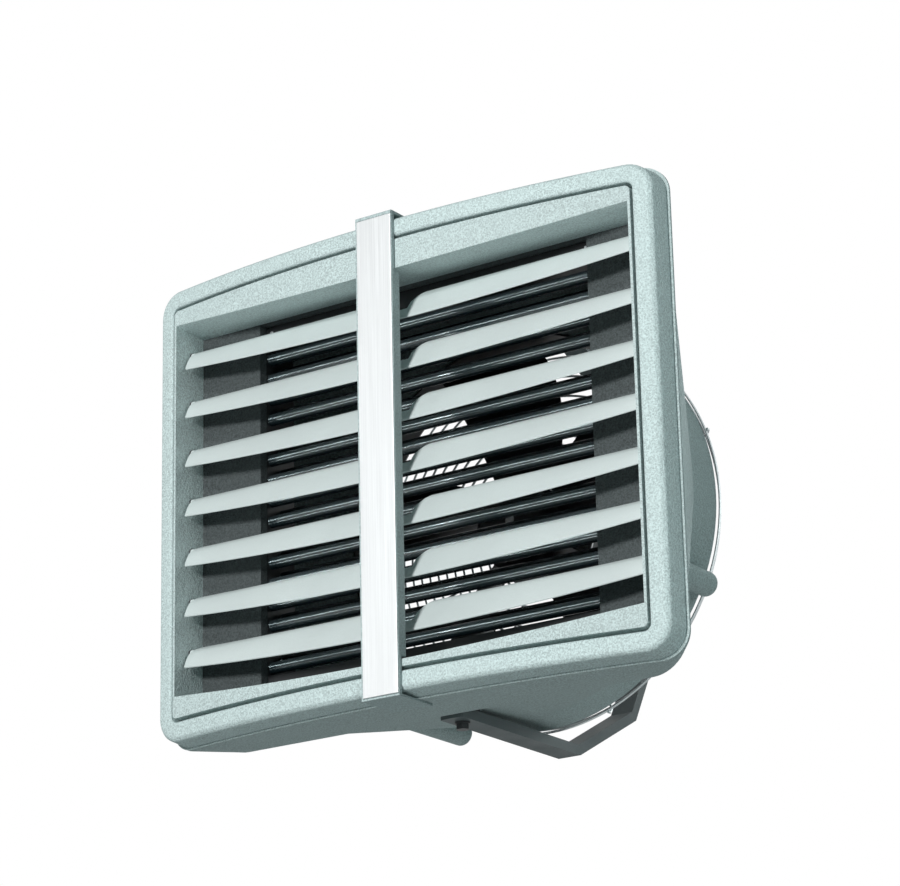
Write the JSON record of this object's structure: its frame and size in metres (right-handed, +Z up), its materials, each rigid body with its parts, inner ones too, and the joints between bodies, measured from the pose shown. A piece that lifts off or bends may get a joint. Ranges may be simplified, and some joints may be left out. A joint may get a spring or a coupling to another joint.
{
  "type": "destratification fan",
  "caption": "Wall-hung air-mixing fan: bowed foam housing with tilting louvres, centre bar and black tubes, a guarded inlet with motor and impeller, on a swivelling C console.",
  "frame": {"origin": "middle of the console's wall face, between its two wall-bolt holes", "axes": "+Y into the wall, -Y the way the air is blown, +Z up, +X to the right seen from the front"},
  "size_m": [0.687, 0.5846, 0.5706],
  "materials": {
    "foam_light": "fine grained moulded foam",
    "foam_dark": "fine grained moulded foam, dark",
    "louvre": "satin",
    "bush": "smooth",
    "carrier": "satin",
    "trim": "brushed along its length",
    "tube": "gloss black",
    "tube_sheet": "semi-gloss black",
    "zinc": "bright zinc",
    "black_plastic": "fine grain",
    "motor": "cast, satin",
    "rotor": "satin black",
    "steel": "ground",
    "blade": "satin black",
    "box": "fine grain",
    "nylon": "smooth",
    "brass": "turned",
    "bolt": "black oxide",
    "console": "fine powder coat, dark grey"
  },
  "bodies": {
    "console": {"console_bracket": "console"},
    "housing": {"front_frame": "foam_light", "rear_shell": "foam_light", "air_channel": "foam_light", "baffle_plate": "foam_dark", "louvre_bushes": "bush", "bar_carrier": "carrier", "bar_plate": "trim", "tubes_front_row": "tube", "tubes_back_row": "tube", "tube_plate_left": "tube_sheet", "tube_plate_right": "tube_sheet", "tube_header_top": "tube_sheet", "tube_header_bottom": "tube_sheet", "tube_rivets": "zinc", "inlet_ring": "black_plastic", "guard_rings": "zinc", "guard_arms": "zinc", "guard_feet": "zinc", "guard_screws": "steel", "motor_plate": "zinc", "motor_stator": "motor", "motor_bearings": "steel", "motor_screws": "steel", "terminal_box": "box", "terminal_box_lid": "box", "lid_screws": "steel", "cable_gland": "black_plastic", "swivel_bolts": "bolt", "swivel_washers": "nylon", "swivel_inserts": "brass"},
    "rotor": {"motor_rotor": "rotor", "motor_shaft": "steel", "fan_hub": "blade", "fan_blades": "blade"},
    "louvre_1": {"louvre_1": "louvre"},
    "louvre_2": {"louvre_2": "louvre"},
    "louvre_3": {"louvre_3": "louvre"},
    "louvre_4": {"louvre_4": "louvre"},
    "louvre_5": {"louvre_5": "louvre"},
    "louvre_6": {"louvre_6": "louvre"},
    "louvre_7": {"louvre_7": "louvre"}
  },
  "joints": [
    {"name": "swivel", "type": "hinge", "parent": "console", "child": "housing", "pos_m": [0, -0.427, 0], "axis": [0, 0, 1], "range_deg": [-60, 60]},
    {"name": "fan_spin", "type": "hinge", "parent": "housing", "child": "rotor", "pos_m": [0, -0.3, -0.015], "axis": [0, 1, 0], "continuous": true},
    {"name": "louvre_1_tilt", "type": "hinge", "parent": "housing", "child": "louvre_1", "pos_m": [0, -0.519, 0.1979], "axis": [1, 0, 0], "range_deg": [-30, 20]},
    {"name": "louvre_2_tilt", "type": "hinge", "parent": "housing", "child": "louvre_2", "pos_m": [0, -0.519, 0.1374], "axis": [1, 0, 0], "range_deg": [-30, 20]},
    {"name": "louvre_3_tilt", "type": "hinge", "parent": "housing", "child": "louvre_3", "pos_m": [0, -0.519, 0.0769], "axis": [1, 0, 0], "range_deg": [-30, 20]},
    {"name": "louvre_4_tilt", "type": "hinge", "parent": "housing", "child": "louvre_4", "pos_m": [0, -0.519, 0.0164], "axis": [1, 0, 0], "range_deg": [-30, 20]},
    {"name": "louvre_5_tilt", "type": "hinge", "parent": "housing", "child": "louvre_5", "pos_m": [0, -0.519, -0.0441], "axis": [1, 0, 0], "range_deg": [-30, 20]},
    {"name": "louvre_6_tilt", "type": "hinge", "parent": "housing", "child": "louvre_6", "pos_m": [0, -0.519, -0.1046], "axis": [1, 0, 0], "range_deg": [-30, 20]},
    {"name": "louvre_7_tilt", "type": "hinge", "parent": "housing", "child": "louvre_7", "pos_m": [0, -0.519, -0.1651], "axis": [1, 0, 0], "range_deg": [-30, 20]}
  ]
}
